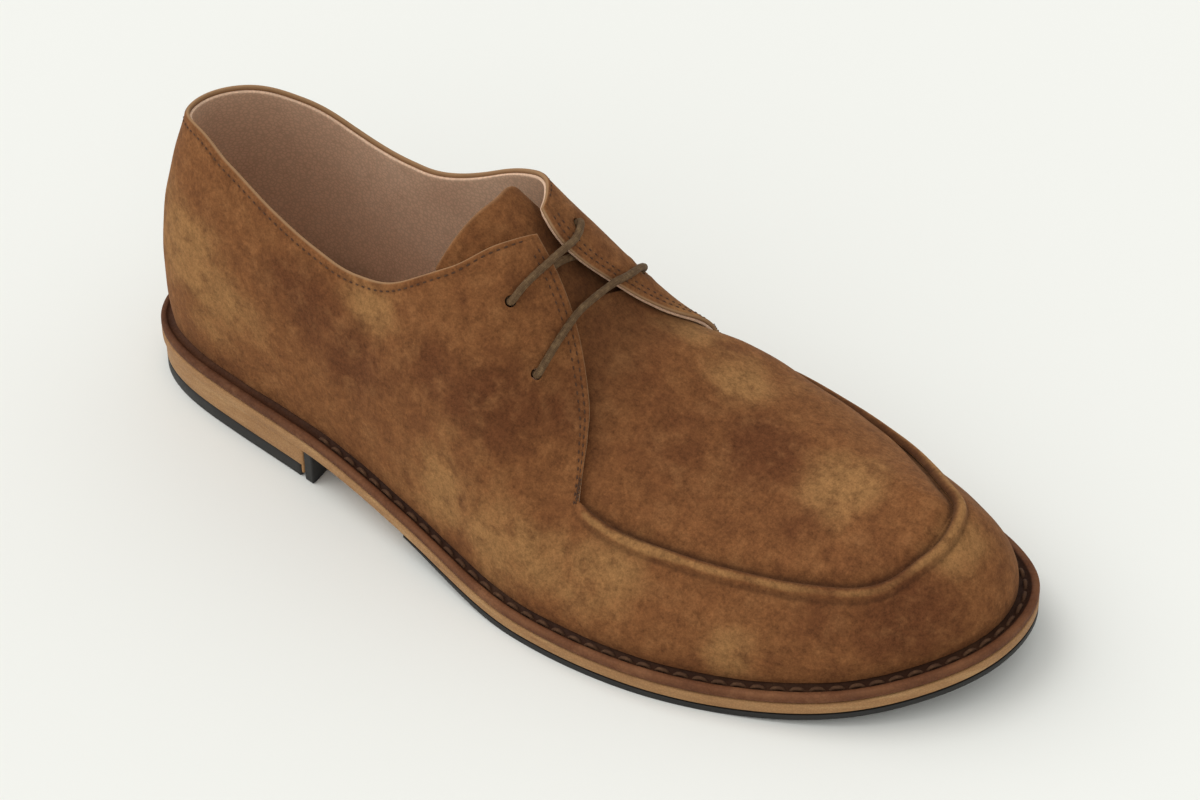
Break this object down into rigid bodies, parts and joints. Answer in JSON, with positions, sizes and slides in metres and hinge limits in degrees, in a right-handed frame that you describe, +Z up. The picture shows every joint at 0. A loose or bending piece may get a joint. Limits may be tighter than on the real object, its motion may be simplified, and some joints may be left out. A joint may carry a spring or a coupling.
{
  "type": "lace-up shoe",
  "caption": "Low suede lace-up shoe for the right foot, with apron front, open facings, stitched welt, leather sole and low heel",
  "frame": {"origin": "middle of the shoe's bounding box, on the ground", "axes": "+X from heel to toe, +Y to the inner (medial) side, +Z up"},
  "size_m": [0.3, 0.1132, 0.1082],
  "materials": {
    "suede": "brushed suede nap",
    "tan_leather": "satin, waxed edge",
    "dark_leather": "satin, stained edge",
    "sock_leather": "satin",
    "black_rubber": "matte",
    "lace": "waxed cotton cord"
  },
  "bodies": {
    "root": {"outsole_rubber": "black_rubber", "leather_sole": "tan_leather", "heel_top_piece": "black_rubber", "heel_lift": "tan_leather", "heel_breast_block": "black_rubber", "welt": "dark_leather", "insole": "sock_leather", "upper": "suede", "tongue": "suede", "lace": "lace"}
  },
  "joints": []
}
